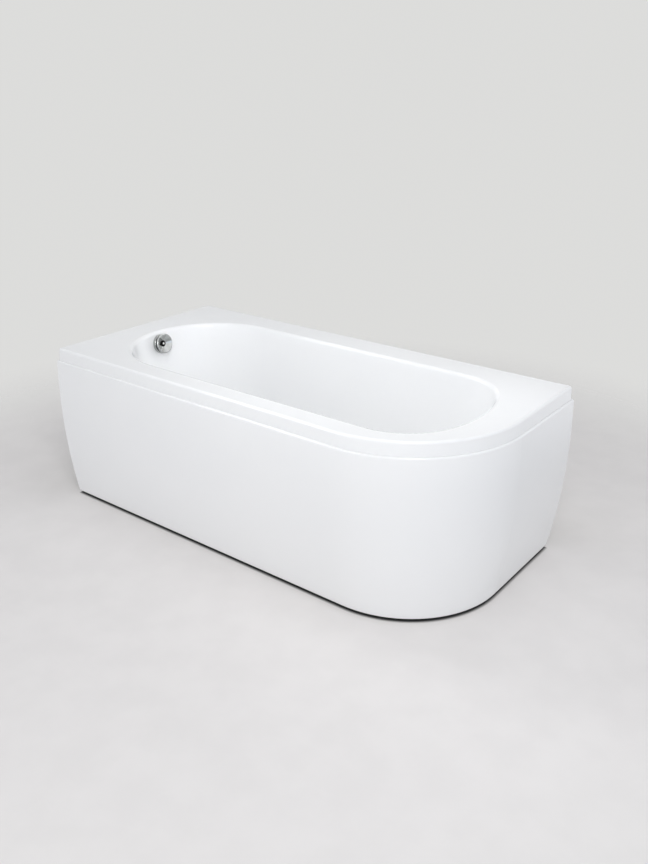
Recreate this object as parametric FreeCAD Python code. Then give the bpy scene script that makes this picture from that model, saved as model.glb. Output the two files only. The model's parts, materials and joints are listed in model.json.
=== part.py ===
import FreeCAD, Part
import math
import os

# Corner bath with one rounded front corner: acrylic shell, one-piece panel, supports and pop-up waste.
# Millimetres, +X along the bath towards the rounded end, +Y to the back wall, +Z up from the floor.

# Overall bath and rim
length = 1600.0
width = 750.0
height = 575.0
laminate = 5.0
lip_depth = 44.0
front_corner_radius = 385.0
wall_corner_radius = 10.0
rim_outer_radius = 8.0
rim_inner_radius = 14.0

# Basin, measured from the rim's outer edges to where the rim plane and the basin walls would meet
rim_left = 125.0
rim_right = 108.0
rim_front = 83.0
rim_back = 117.0
floor_height = 150.0
foot_end_slope = 14.0
head_end_slope = 27.0
side_slope = 8.0
head_corner_radius = 200.0
floor_corner_radius = 140.0
head_arc_half_angle = 21.0
basin_floor_radius = 60.0

# Front panel
panel_wall = 4.0
panel_proud = 6.0
panel_top_gap = 0.3
panel_shoulder_radius = 6.0
panel_top_flange = 30.0
panel_bottom_inset = 60.0
panel_bottom_radius = 5.0
panel_bottom_flange = 40.0
floor_gap = 8.0

# Base board and cradle
board_thickness = 18.0
board_margin = 8.0
board_start = 385.0
rail_width = 40.0
rail_height = 35.0
rail_wall = 2.5
rail_end_clearance = 115.0
left_rail_place = 450.0
right_rail_place = 1010.0
centre_plate_size = 90.0
centre_plate_thickness = 3.0

# Levelling feet
foot_end_margin = 45.0
rod_radius = 5.0
rod_stand = 4.0
nut_flats = 17.0
nut_height = 8.0
foot_base_radius = 28.0
foot_base_height = 8.0
foot_cone_height = 12.0
foot_boss_radius = 13.0
foot_boss_height = 10.0
foot_floor = 6.0

# Panel hooks, brackets and cleats
strip_thickness = 3.0
hook_thickness = 1.5
hook_width = 30.0
hook_height = 30.0
hook_depth = 22.0
bracket_tab_width = 30.0
bracket_tab_depth = 24.0
bracket_reach = 45.0
bracket_bolt_share = 0.6
cleat_length = 40.0
cleat_height = 40.0
cleat_screw_share = 0.6
cleat_hole_share = 0.65
hook_shares = (0.14, 0.50, 0.86)
end_hook_share = 0.5

# Wall brackets
wall_bracket_width = 40.0
wall_bracket_drop = 60.0
wall_bracket_tongue = 25.0
wall_bracket_hole_radius = 3.0
wall_bracket_hole_pitch = 24.0
wall_bracket_hole_drop = 35.0
back_bracket_shares = (0.25, 0.75)

# Screws and bolts
screw_radius = 2.0
screw_head_radius = 4.0
screw_head_height = 2.2
board_screw_length = 14.0
bolt_radius = 3.0
bolt_head_radius = 5.5
bolt_head_height = 4.0
rail_screw_pitch = 80.0
rail_screw_shares = (-1.5, -0.5, 0.5, 1.5)

# Overflow and turning knob
overflow_drop = 46.0
overflow_hole_radius = 26.0
flange_radius = 36.0
flange_thickness = 11.0
flange_stand = 3.0
flange_edge_radius = 3.0
flange_well_radius = 25.0
flange_floor = 4.0
flange_slot_radius = 5.0
flange_slot_circle = 17.0
flange_slots = 6
knob_radius = 36.5
knob_gap = 7.5
knob_edge = 6.0
knob_edge_radius = 2.0
knob_dish_rim = 3.5
knob_dish = 13.0
knob_mouth_radius = 10.0
knob_mouth_depth = 3.0
knob_floor = 3.0
knob_wall = 5.0
spindle_radius = 4.0
spindle_tip_drop = 8.0
spool_radius = 12.0
spool_height = 8.0
spool_groove = 3.0
overflow_body_radius = 30.0
overflow_body_wall = 3.0
overflow_body_depth = 32.0
overflow_collar_radius = 38.0
overflow_collar_thickness = 4.0
spigot_length = 20.0

# Overflow pipe and pull cable
pipe_radius = 14.0
pipe_wall = 2.0
pipe_bend = 70.0
cable_radius = 3.0
cable_offset = 21.0
cable_socket_radius = 7.0
cable_socket_depth = 12.0
clip_height = 10.0
clip_wall = 2.5
clip_shares = (0.25, 0.6)

# Waste, plug and trap
waste_place = 320.0
waste_hole_radius = 24.0
waste_flange_radius = 36.0
waste_flange_thickness = 3.0
waste_tube_radius = 22.0
waste_bore_radius = 19.0
waste_tube_length = 30.0
spider_height = 6.0
spider_arm = 4.0
spider_hub_radius = 7.0
seal_thickness = 3.0
waste_body_radius = 28.0
waste_body_collar = 4.0
waste_body_length = 62.0
waste_inlet_drop = 32.0
waste_inlet_length = 22.0
trap_thread_radius = 24.0
trap_collar = 4.0
trap_nut_radius = 32.0
trap_nut_height = 22.0
trap_nut_ribs = 12
trap_rib_radius = 2.0
trap_pipe_radius = 20.0
trap_pipe_wall = 2.5
trap_bend = 30.0
trap_outlet_bend = 26.0
trap_floor_gap = 10.0
outlet_wall_gap = 20.0
plug_radius = 33.0
plug_edge = 2.0
plug_crown = 5.0
plug_travel = 10.0
stem_radius = 3.0
stem_length = 44.0
plug_seal_height = 4.0
plug_seal_wall = 4.0
lever_arm = 13.0
lever_width = 6.0
lever_thickness = 2.0
lever_tip_radius = 2.5
lever_eye_radius = 3.5
lever_pin_radius = 1.5
lever_pin_hold = 3.0

# Fits and cuts
fit = 0.1
seat_gap = 0.3
overrun = 20.0

# Where the named planes stand: the box of the whole bath is centred on the origin
left = -(length + panel_proud) / 2
right = left + length
back = (width + panel_proud) / 2
front = back - width
lip_bottom = height - lip_depth
panel_top = lip_bottom - panel_top_gap
basin_floor = floor_height
basin_depth = height - floor_height
basin_y = (front + rim_front + back - rim_back) / 2
shell_bottom = basin_floor - laminate
board_bottom = shell_bottom - board_thickness
rail_x = (left + left_rail_place, left + right_rail_place)
rail_bottom = board_bottom - rail_height
rail_length = width - 2 * rail_end_clearance
foot_spread = rail_length - 2 * foot_end_margin
flange_top = floor_gap + panel_wall
waste_x = left + waste_place
up = FreeCAD.Vector(0, 0, 1)
along = FreeCAD.Vector(1, 0, 0)
inward = FreeCAD.Vector(0, 1, 0)
corner_x = right - front_corner_radius
corner_y = front + front_corner_radius


def vec(x, y, z):
    """Point or direction in the bath's frame."""
    return FreeCAD.Vector(x, y, z)


def line(start, end):
    return Part.LineSegment(start, end).toShape()


def arc(start, middle, end):
    return Part.Arc(start, middle, end).toShape()


def box(low, high):
    """Block between two opposite corners."""
    return Part.makeBox(high.x - low.x, high.y - low.y, high.z - low.z, low)


def cylinder(radius, depth, base, axis=up):
    return Part.makeCylinder(radius, depth, base, axis)


def ring(outer, inner, depth, base, axis=up):
    """Round washer or sleeve."""
    hole = cylinder(inner, depth + 2 * overrun, base - axis * overrun, axis)
    return cylinder(outer, depth, base, axis).cut(hole)


def through(radius, centre, axis, reach=overrun):
    """Cutter for a round hole that passes both ways from a point."""
    return cylinder(radius, 2 * reach, centre - axis * reach, axis)


def polygon(points, sweep):
    """Solid swept from a closed outline of straight edges."""
    return Part.Face(Part.makePolygon(points + points[:1])).extrude(sweep)


def rounded_path(points, radii):
    """Straight runs joined by tangent arcs at the inner points."""
    edges = []
    start = points[0]
    for before, corner, after, radius in zip(points, points[1:], points[2:], radii):
        arrive = (corner - before).normalize()
        leave = (after - corner).normalize()
        turn = arrive.getAngle(leave)
        reach = radius * math.tan(turn / 2)
        bisector = (leave - arrive).normalize()
        centre = corner + bisector * (radius / math.cos(turn / 2))
        bend_start = corner - arrive * reach
        bend_end = corner + leave * reach
        edges.append(line(start, bend_start))
        edges.append(arc(bend_start, centre - bisector * radius, bend_end))
        start = bend_end
    edges.append(line(start, points[-1]))
    return Part.Wire(edges)


def bent_rod(points, radii, radius):
    """Round rod along straight runs and tangent arcs."""
    section = Part.Wire(Part.makeCircle(radius, points[0], points[1] - points[0]))
    return rounded_path(points, radii).makePipeShell([section], True, False)


def turned(profile, base, axis):
    """Solid of revolution from pairs of a radius and a distance along the axis."""
    side = axis.cross(inward)
    points = [base + side * radius + axis * distance for radius, distance in profile]
    return Part.Face(Part.makePolygon(points + points[:1])).revolve(base, axis, 360)


def hexagon(flats, depth, base):
    """Hexagonal prism standing on a point."""
    corner = flats / math.sqrt(3)
    turns = [math.radians(60 * k) for k in range(6)]
    points = [base + vec(corner * math.cos(t), corner * math.sin(t), 0) for t in turns]
    return polygon(points, up * depth)


def screw(seat, axis, shank, radius, head_radius, head_height):
    """Pan-head screw: its head stands on the seat and its shank runs against the axis."""
    head = cylinder(head_radius, head_height, seat, axis)
    return head.fuse(cylinder(radius, shank, seat, axis * -1))


def save(name, *solids):
    """Write one node; a group of like pieces stays separate solids."""
    shape = solids[0] if len(solids) == 1 else Part.makeCompound(list(solids))
    for solid in shape.Solids:
        if not solid.isValid():
            raise ValueError(name + " has a solid that is not valid")
    shape.exportStep(os.path.join("parts", name + ".step"))
    print(name, len(shape.Solids), round(shape.Volume / 1000.0, 1), "cm3")


# Bath shell

def rim_outline(inset, z):
    """Outer edge of the rim, drawn in by an inset; only the front right corner is large."""
    x0, x1 = left + inset, right - inset
    y0, y1 = front + inset, back - inset
    big = front_corner_radius - inset
    small = wall_corner_radius - inset
    corners = [(x0, y0, small, 180), (x1, y0, big, 270), (x1, y1, small, 0), (x0, y1, small, 90)]
    edges = []
    ends = []
    for x, y, radius, start_turn in corners:
        cx = x + radius if x == x0 else x - radius
        cy = y + radius if y == y0 else y - radius
        spots = [math.radians(start_turn + 45 * k) for k in range(3)]
        points = [vec(cx + radius * math.cos(t), cy + radius * math.sin(t), z) for t in spots]
        edges.append(arc(*points))
        ends.append(points)
    sides = [line(ends[k][2], ends[(k + 1) % 4][0]) for k in range(4)]
    return Part.Wire([edge for pair in zip(edges, sides) for edge in pair])


def basin_outline(z, x_left, x_right, half_width, corner_radius):
    """Plan of the basin: straight sides, a half-round foot end and a squarer head end of three arcs."""
    phi = math.radians(head_arc_half_angle)
    end_radius = corner_radius + (half_width - corner_radius) / math.sin(phi)
    end_x = x_right - end_radius
    side_x = end_x + (end_radius - corner_radius) * math.cos(phi)
    corner_offset = half_width - corner_radius
    foot_x = x_left + half_width
    slant = half_width * math.sqrt(0.5)
    knee_turn = math.radians((90 + head_arc_half_angle) / 2)
    knee_x = side_x + corner_radius * math.cos(knee_turn)
    knee = corner_offset + corner_radius * math.sin(knee_turn)
    join_x = end_x + end_radius * math.cos(phi)
    join = end_radius * math.sin(phi)

    def at(x, offset):
        return vec(x, basin_y + offset, z)

    return Part.Wire([
        line(at(foot_x, half_width), at(side_x, half_width)),
        arc(at(side_x, half_width), at(knee_x, knee), at(join_x, join)),
        arc(at(join_x, join), at(x_right, 0), at(join_x, -join)),
        arc(at(join_x, -join), at(knee_x, -knee), at(side_x, -half_width)),
        line(at(side_x, -half_width), at(foot_x, -half_width)),
        arc(at(foot_x, -half_width), at(foot_x - slant, -slant), at(x_left, 0)),
        arc(at(x_left, 0), at(foot_x - slant, slant), at(foot_x, half_width)),
    ])


def basin_section(z, grow):
    """Outline of the sloping basin walls at one height, grown outwards by a wall."""
    drop = height - z
    taper = (floor_corner_radius - head_corner_radius) * drop / basin_depth
    x_left = left + rim_left + drop * math.tan(math.radians(foot_end_slope)) - grow
    x_right = right - rim_right - drop * math.tan(math.radians(head_end_slope)) + grow
    half_width = (width - rim_front - rim_back) / 2 - drop * math.tan(math.radians(side_slope)) + grow
    return basin_outline(z, x_left, x_right, half_width, head_corner_radius + taper + grow)


def basin_solid(top, bottom, grow):
    """The basin's hollow, or with a wall's growth its outside, rounded where the walls meet the floor."""
    body = Part.makeLoft([basin_section(top, grow), basin_section(bottom, grow)], True, True)
    low_edges = [edge for edge in body.Edges if edge.BoundBox.ZMax < bottom + fit]
    return body.makeFillet(basin_floor_radius + grow, low_edges)


def edges_on_basin(shape, z, grow):
    """Edges of a shape that lie on the basin's outline at one height."""
    outline = basin_section(z, grow)
    found = []
    for edge in shape.Edges:
        if edge.BoundBox.ZMin > z - fit and edge.BoundBox.ZMax < z + fit:
            middle = edge.valueAt((edge.FirstParameter + edge.LastParameter) / 2)
            if outline.distToShape(Part.Vertex(middle))[0] < fit:
                found.append(edge)
    return found


wall_slope = math.radians(foot_end_slope)
overflow_axis = vec(math.cos(wall_slope), 0, math.sin(wall_slope))
overflow_z = height - overflow_drop
overflow_point = vec(left + rim_left + overflow_drop * math.tan(wall_slope), basin_y, overflow_z)


def bath_shell():
    """Rim, lip and basin in one laminate, with the overflow and waste holes."""
    rim = Part.Face(rim_outline(0, lip_bottom)).extrude(up * lip_depth)
    top_edges = [edge for edge in rim.Edges if edge.BoundBox.ZMin > height - fit]
    rim = rim.makeFillet(rim_outer_radius, top_edges)
    under = height - laminate
    hollow_bottom = lip_bottom - overrun
    hollow = Part.Face(rim_outline(laminate, hollow_bottom)).extrude(up * (under - hollow_bottom))
    shell = rim.cut(hollow).fuse(basin_solid(under + laminate / 2, shell_bottom, laminate)).removeSplitter()
    shell = shell.makeFillet(rim_inner_radius - laminate, edges_on_basin(shell, under, laminate))
    shell = shell.cut(basin_solid(height + overrun, basin_floor, 0))
    shell = shell.makeFillet(rim_inner_radius, edges_on_basin(shell, height, 0))
    shell = shell.cut(through(overflow_hole_radius, overflow_point, overflow_axis))
    shell = shell.cut(through(waste_hole_radius, vec(waste_x, basin_y, basin_floor), up))
    return shell.Solids[0]


# Front panel

def panel_profile(x):
    """Section of the panel at one place along the front: shoulder, long bow and turned-in flanges."""
    top_z = panel_top - panel_shoulder_radius
    rise = top_z - floor_gap
    drop_in = panel_proud + panel_bottom_inset
    bow = (rise * rise + drop_in * drop_in) / (2 * drop_in)
    bow_u = panel_proud - bow
    foot_z = floor_gap + panel_bottom_radius
    reach = bow - panel_bottom_radius
    foot_u = bow_u + math.sqrt(reach * reach - (top_z - foot_z) * (top_z - foot_z))
    lean = math.atan2(top_z - foot_z, foot_u - bow_u)
    shoulder_u = panel_proud - panel_shoulder_radius
    half = math.sqrt(0.5)

    def at(u, z):
        return vec(x, front - u, z)

    def on_bow(radius, turn):
        return at(bow_u + radius * math.cos(turn), top_z - radius * math.sin(turn))

    def on_shoulder(radius, turn):
        return at(shoulder_u + radius * math.cos(turn), top_z + radius * math.sin(turn))

    def on_foot(radius, turn):
        return at(foot_u + radius * math.cos(turn), foot_z - radius * math.sin(turn))

    foot_middle = (lean + math.pi / 2) / 2
    skin = []
    for inset in (0, panel_wall):
        shoulder = panel_shoulder_radius - inset
        foot = panel_bottom_radius - inset
        skin.append([
            at(-panel_top_flange, panel_top - inset),
            at(shoulder_u, panel_top - inset),
            at(shoulder_u + shoulder * half, top_z + shoulder * half),
            on_shoulder(shoulder, 0),
            on_bow(bow - inset, lean / 2),
            on_bow(bow - inset, lean),
            on_foot(foot, foot_middle),
            on_foot(foot, math.pi / 2),
            at(foot_u - panel_bottom_flange, floor_gap + inset),
        ])
    edges = []
    for points in skin:
        edges.append(line(points[0], points[1]))
        edges.append(arc(points[1], points[2], points[3]))
        edges.append(arc(points[3], points[4], points[5]))
        edges.append(arc(points[5], points[6], points[7]))
        edges.append(line(points[7], points[8]))
    edges.append(line(skin[0][0], skin[1][0]))
    edges.append(line(skin[0][8], skin[1][8]))
    return Part.Face(Part.Wire(Part.__sortEdges__(edges))), foot_u


def panel_solid():
    """Panel along the front, round the corner and back to the wall."""
    start = panel_profile(left)[0]
    turn = panel_profile(corner_x)[0]
    pivot = vec(corner_x, corner_y, 0)
    side = turn.copy()
    side.rotate(pivot, up, 90)
    pieces = [
        start.extrude(along * (length - front_corner_radius)),
        turn.revolve(pivot, up, 90),
        side.extrude(inward * (width - front_corner_radius)),
    ]
    return pieces[0].fuse(pieces[1:]).removeSplitter()


flange_u = panel_profile(left)[1] - panel_bottom_flange / 2
flange_y = front - flange_u
flange_x = right + flange_u
hook_y = front + laminate + seat_gap
hook_x = right - laminate - seat_gap
end_hook_y = corner_y + (back - corner_y) * end_hook_share
front_hook_x = [left + (corner_x - left) * share for share in hook_shares]
panel_screw_length = panel_wall + strip_thickness
hook_screw_places = [vec(x, hook_y + hook_depth / 2, panel_top + hook_thickness) for x in front_hook_x]
hook_screw_places.append(vec(hook_x - hook_depth / 2, end_hook_y, panel_top + hook_thickness))
tab_top = flange_top + strip_thickness
cleat_screw_places = [
    vec(left + cleat_length * cleat_screw_share, flange_y, tab_top),
    vec(flange_x, back - cleat_length * cleat_screw_share, tab_top),
]
bracket_screw_places = [vec(x, flange_y, tab_top) for x in rail_x]


def front_panel():
    """Panel with its screw holes."""
    panel = panel_solid()
    for spot in hook_screw_places + cleat_screw_places + bracket_screw_places:
        panel = panel.cut(through(screw_radius + fit, spot, up))
    return panel.Solids[0]


def panel_hooks():
    """Spring hooks that tuck the panel's top flange behind the lip."""
    hooks = []
    for x in front_hook_x:
        low = vec(x - hook_width / 2, hook_y, panel_top)
        leg = box(low, low + vec(hook_width, hook_depth, hook_thickness))
        stem = box(low, low + vec(hook_width, hook_thickness, hook_height))
        hooks.append(leg.fuse(stem).removeSplitter())
    low = vec(hook_x - hook_depth, end_hook_y - hook_width / 2, panel_top)
    leg = box(low, low + vec(hook_depth, hook_width, hook_thickness))
    stem_low = vec(hook_x - hook_thickness, end_hook_y - hook_width / 2, panel_top)
    stem = box(stem_low, stem_low + vec(hook_thickness, hook_width, hook_height))
    hooks.append(leg.fuse(stem).removeSplitter())
    holes = [through(screw_radius + fit, spot, up, hook_thickness * 2) for spot in hook_screw_places]
    return [hook.cut(hole).Solids[0] for hook, hole in zip(hooks, holes)]


def panel_screw(spot, grip):
    return screw(spot, up, grip, screw_radius, screw_head_radius, screw_head_height)


def panel_bracket(x):
    """Gusset on a cradle rail that holds the panel's bottom flange."""
    face_x = x + rail_width / 2
    rail_end = basin_y - rail_length / 2
    tab_y = flange_y - bracket_tab_depth / 2
    outline = [
        vec(face_x, rail_end + bracket_reach, board_bottom - rail_wall),
        vec(face_x, rail_end, board_bottom - rail_wall),
        vec(face_x, tab_y, tab_top),
        vec(face_x, tab_y, flange_top),
        vec(face_x, tab_y + bracket_tab_depth, flange_top),
        vec(face_x, rail_end + bracket_reach, rail_bottom),
    ]
    plate = polygon(outline, along * strip_thickness)
    tab_low = vec(x - bracket_tab_width / 2, tab_y, flange_top)
    tab_high = vec(face_x + strip_thickness, tab_y + bracket_tab_depth, tab_top)
    bracket = plate.fuse(box(tab_low, tab_high)).removeSplitter()
    bracket = bracket.cut(through(screw_radius + fit, vec(x, flange_y, tab_top), up, strip_thickness * 2))
    bracket = bracket.cut(through(bolt_radius + fit, bracket_bolt_place(x), along, strip_thickness * 2))
    return bracket.Solids[0]


def bracket_bolt_place(x):
    """Outer face of a bracket at its bolt, halfway up the rail's side."""
    rail_end = basin_y - rail_length / 2
    bolt_y = rail_end + bracket_reach * bracket_bolt_share
    return vec(x + rail_width / 2 + strip_thickness, bolt_y, rail_bottom + rail_height / 2)


def panel_cleats():
    """Angles that fix the panel's two ends to the walls, on its bottom flange."""
    half = bracket_tab_depth / 2
    low = vec(left, flange_y - half, flange_top)
    end = box(low, low + vec(cleat_length, bracket_tab_depth, strip_thickness))
    end = end.fuse(box(low, low + vec(strip_thickness, bracket_tab_depth, cleat_height))).removeSplitter()
    far = vec(flange_x - half, back - cleat_length, flange_top)
    rear = box(far, far + vec(bracket_tab_depth, cleat_length, strip_thickness))
    heel = vec(flange_x - half, back - strip_thickness, flange_top)
    rear = rear.fuse(box(heel, heel + vec(bracket_tab_depth, strip_thickness, cleat_height))).removeSplitter()
    hole_z = flange_top + cleat_height * cleat_hole_share
    end = end.cut(through(wall_bracket_hole_radius, vec(left, flange_y, hole_z), along))
    rear = rear.cut(through(wall_bracket_hole_radius, vec(flange_x, back, hole_z), inward))
    cleats = []
    for cleat, spot in zip((end, rear), cleat_screw_places):
        cleats.append(cleat.cut(through(screw_radius + fit, spot, up, strip_thickness * 2)).Solids[0])
    return cleats


# Wall brackets

def wall_bracket(spot, out, across):
    """Steel channel on a wall that carries the lip's lower edge; out points away from the wall."""
    groove = laminate + seat_gap
    tongue = groove + strip_thickness
    section = [
        (0, -wall_bracket_drop),
        (strip_thickness, -wall_bracket_drop),
        (strip_thickness, -strip_thickness),
        (tongue, -strip_thickness),
        (tongue, wall_bracket_tongue),
        (groove, wall_bracket_tongue),
        (groove, 0),
        (0, 0),
    ]
    start = spot - across * (wall_bracket_width / 2)
    bracket = polygon([start + out * w + up * z for w, z in section], across * wall_bracket_width)
    for side in (-1, 1):
        hole = spot + across * (side * wall_bracket_hole_pitch / 2) - up * wall_bracket_hole_drop
        bracket = bracket.cut(through(wall_bracket_hole_radius, hole, out, strip_thickness * 2))
    return bracket.Solids[0]


# Base board, cradle and levelling feet

board_screws = []
for rail in rail_x:
    for share in rail_screw_shares:
        board_screws.append(vec(rail, basin_y + share * rail_screw_pitch, board_bottom - rail_wall))
plate_x = sum(rail_x) / 2
plate_reach = centre_plate_size / 2 - screw_head_radius * 2
plate_screws = []
for sx in (-1, 1):
    for sy in (-1, 1):
        spot_x = plate_x + sx * plate_reach
        spot_y = basin_y + sy * plate_reach
        plate_screws.append(vec(spot_x, spot_y, board_bottom - centre_plate_thickness))
foot_places = [vec(x, basin_y + side * foot_spread / 2, 0) for x in rail_x for side in (-1, 1)]
foot_places.append(vec(plate_x, basin_y, 0))


def base_board():
    """Board bonded under the flat of the basin's floor, cut square at the foot end."""
    inset = basin_floor_radius * math.tan(math.radians(90 - side_slope) / 2) + board_margin
    half_width = (width - rim_front - rim_back) / 2 - inset
    half_width -= basin_depth * math.tan(math.radians(side_slope))
    x_right = right - rim_right - basin_depth * math.tan(math.radians(head_end_slope)) - inset
    start = left + board_start
    corner_radius = floor_corner_radius - inset
    outline = basin_outline(board_bottom, start - half_width, x_right, half_width, corner_radius)
    board = Part.Face(outline).extrude(up * board_thickness)
    end = vec(start - width, front, board_bottom - overrun)
    board = board.cut(box(end, vec(start, back, shell_bottom + overrun)))
    depth = board_screw_length + rail_wall + seat_gap
    for spot in board_screws + plate_screws:
        board = board.cut(cylinder(screw_radius + fit, depth, spot))
    return board.Solids[0]


def cradle_rail(x):
    """Steel channel across the board, open below, with holes for its feet and screws."""
    low = vec(x - rail_width / 2, basin_y - rail_length / 2, rail_bottom)
    rail = box(low, low + vec(rail_width, rail_length, rail_height))
    inner_low = low + vec(rail_wall, -overrun, -overrun)
    inner = box(inner_low, vec(x + rail_width / 2 - rail_wall, basin_y + rail_length / 2 + overrun,
                               board_bottom - rail_wall))
    rail = rail.cut(inner)
    holes = [through(rod_radius + fit, spot + up * board_bottom, up) for spot in foot_places]
    holes += [through(screw_radius + fit, spot, up) for spot in board_screws]
    holes.append(through(bolt_radius + fit, bracket_bolt_place(x), along, strip_thickness + rail_wall + fit))
    return rail.cut(holes).Solids[0]


def centre_plate():
    """Plate under the middle of the board for the fifth foot."""
    half = centre_plate_size / 2
    low = vec(plate_x - half, basin_y - half, board_bottom - centre_plate_thickness)
    plate = box(low, low + vec(centre_plate_size, centre_plate_size, centre_plate_thickness))
    holes = [through(screw_radius + fit, spot, up) for spot in plate_screws]
    holes.append(through(rod_radius + fit, vec(plate_x, basin_y, board_bottom), up))
    return plate.cut(holes).Solids[0]


def levelling_rods():
    """Threaded rods: four through the rails, one under the centre plate."""
    bottom = foot_floor + seat_gap
    high = board_bottom + nut_height + rod_stand
    tops = [high] * (len(foot_places) - 1) + [board_bottom - seat_gap]
    return [cylinder(rod_radius, top - bottom, spot + up * bottom) for spot, top in zip(foot_places, tops)]


def lock_nuts():
    """Nuts on each rod: above and below a rail, and below the centre plate."""
    nuts = []
    for spot in foot_places[:-1]:
        nuts.append((spot, board_bottom))
        nuts.append((spot, board_bottom - rail_wall - nut_height))
    nuts.append((foot_places[-1], board_bottom - centre_plate_thickness - nut_height))
    solids = []
    for spot, z in nuts:
        nut = hexagon(nut_flats, nut_height, spot + up * z)
        solids.append(nut.cut(through(rod_radius + fit, spot + up * z, up)).Solids[0])
    return solids


def foot_pad(spot):
    """Plastic foot that turns on the end of its rod."""
    base = cylinder(foot_base_radius, foot_base_height, spot)
    cone = Part.makeCone(foot_base_radius - foot_boss_height / 2, foot_boss_radius, foot_cone_height,
                         spot + up * foot_base_height)
    boss = cylinder(foot_boss_radius, foot_boss_height, spot + up * (foot_base_height + foot_cone_height))
    foot = base.fuse([cone, boss]).removeSplitter()
    bore = cylinder(rod_radius + fit, foot_base_height + foot_cone_height + foot_boss_height,
                    spot + up * foot_floor)
    return foot.cut(bore).Solids[0]


# Overflow and knob

def along_overflow(distance):
    """Point on the overflow's axis, measured out of the end wall into the basin."""
    return overflow_point + overflow_axis * distance


flange_front = flange_stand + flange_thickness
knob_front = flange_front + knob_gap + knob_edge
body_back = -(laminate + overflow_collar_thickness + overflow_body_depth)


def overflow_gasket():
    """Soft ring between the end wall's curve and the flat flange."""
    blank = ring(flange_radius - overflow_body_wall, overflow_hole_radius, laminate + flange_stand,
                 along_overflow(-laminate), overflow_axis)
    return blank.common(basin_solid(height + overrun, basin_floor, 0)).Solids[0]


def overflow_flange():
    """Plated ring with a well behind the knob, water slots and a bearing hole for the spindle."""
    flange = cylinder(flange_radius, flange_thickness, along_overflow(flange_stand), overflow_axis)
    face_centre = along_overflow(flange_front)
    front_edges = [edge for edge in flange.Edges if edge.CenterOfMass.isEqual(face_centre, fit)]
    flange = flange.makeFillet(flange_edge_radius, front_edges)
    well = along_overflow(flange_stand + flange_floor)
    flange = flange.cut(cylinder(flange_well_radius, flange_thickness, well, overflow_axis))
    side = vec(0, 1, 0)
    lift = overflow_axis.cross(side)
    for k in range(flange_slots):
        turn = 2 * math.pi * k / flange_slots
        spoke = side * math.cos(turn) + lift * math.sin(turn)
        spot = along_overflow(flange_stand) + spoke * flange_slot_circle
        flange = flange.cut(through(flange_slot_radius, spot, overflow_axis))
    return flange.cut(through(spindle_radius + fit, along_overflow(flange_stand), overflow_axis)).Solids[0]


def overflow_knob():
    """Plated turning knob: a funnel with a rounded edge, and a hub in the flange's well."""
    dish_radius = knob_radius - knob_dish_rim
    hub_radius = knob_mouth_radius + knob_wall
    mouth = knob_front - knob_dish
    floor_top = mouth - knob_mouth_depth
    floor_bottom = floor_top - knob_floor
    knob = turned([
        (spindle_radius, floor_bottom),
        (hub_radius, floor_bottom),
        (hub_radius, mouth),
        (knob_radius, knob_front - knob_edge),
        (knob_radius, knob_front),
        (dish_radius, knob_front),
        (knob_mouth_radius, mouth),
        (knob_mouth_radius, floor_top),
        (spindle_radius, floor_top),
    ], overflow_point, overflow_axis)
    rims = []
    for edge in knob.Edges:
        if isinstance(edge.Curve, Part.Circle) and abs(edge.Curve.Radius - knob_radius) < fit:
            rims.append(edge)
    return knob.makeFillet(knob_edge_radius, rims).Solids[0]


def knob_spindle():
    """Steel spindle from the knob's mouth through the flange into the body behind the wall."""
    start = body_back + overflow_body_wall + seat_gap
    reach = knob_front - spindle_tip_drop - start
    return cylinder(spindle_radius, reach, along_overflow(start), overflow_axis)


body_middle = along_overflow(body_back + overflow_body_depth / 2)
pipe_top = body_middle.z - overflow_body_radius + overflow_body_wall
spigot_bottom = body_middle.z - overflow_body_radius - spigot_length
pipe_low = shell_bottom - waste_inlet_drop + overflow_body_wall
pipe_x = body_middle.x
cable_y = basin_y + cable_offset


def overflow_body(shell):
    """Cup behind the end wall, seated on the shell, with a spigot for the pipe and a socket for the cable."""
    back_point = along_overflow(body_back)
    cup_depth = overflow_body_depth + overflow_collar_thickness
    cup = cylinder(overflow_body_radius, cup_depth, back_point, overflow_axis)
    collar = cylinder(overflow_collar_radius, overflow_collar_thickness + laminate,
                      along_overflow(-laminate - overflow_collar_thickness), overflow_axis)
    rise = body_middle.z - spigot_bottom
    spigot = cylinder(pipe_radius + pipe_wall + fit, rise, vec(pipe_x, basin_y, spigot_bottom))
    socket = cylinder(cable_socket_radius, rise, vec(pipe_x, cable_y, spigot_bottom))
    body = cup.fuse([collar, spigot, socket])
    body = body.cut(shell).cut(basin_solid(height + overrun, basin_floor, 0))
    hollow = cylinder(overflow_body_radius - overflow_body_wall, overflow_body_depth + overrun,
                      along_overflow(body_back + overflow_body_wall), overflow_axis)
    pipe_bore = cylinder(pipe_radius + fit, pipe_top - spigot_bottom + overrun,
                         vec(pipe_x, basin_y, spigot_bottom - overrun))
    cable_bore = cylinder(cable_radius + fit, cable_socket_depth + overrun,
                          vec(pipe_x, cable_y, spigot_bottom - overrun))
    return body.cut([hollow, pipe_bore, cable_bore]).Solids[0]


def overflow_pipe():
    """Rigid pipe from the overflow's spigot down and along to the waste body."""
    end_x = waste_x - waste_body_radius - seat_gap
    points = [
        vec(pipe_x, basin_y, pipe_top - seat_gap),
        vec(pipe_x, basin_y, pipe_low),
        vec(end_x, basin_y, pipe_low),
    ]
    outer = bent_rod(points, [pipe_bend], pipe_radius)
    bore = bent_rod(points, [pipe_bend], pipe_radius - pipe_wall)
    return outer.cut(bore).Solids[0]


def cable_sheath():
    """Pull cable beside the pipe, from the overflow body's socket to the waste body."""
    end_x = waste_x - waste_body_radius - seat_gap
    top = spigot_bottom + cable_socket_depth - seat_gap
    points = [vec(pipe_x, cable_y, top), vec(pipe_x, cable_y, pipe_low), vec(end_x, cable_y, pipe_low)]
    return bent_rod(points, [pipe_bend], cable_radius).Solids[0]


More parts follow.
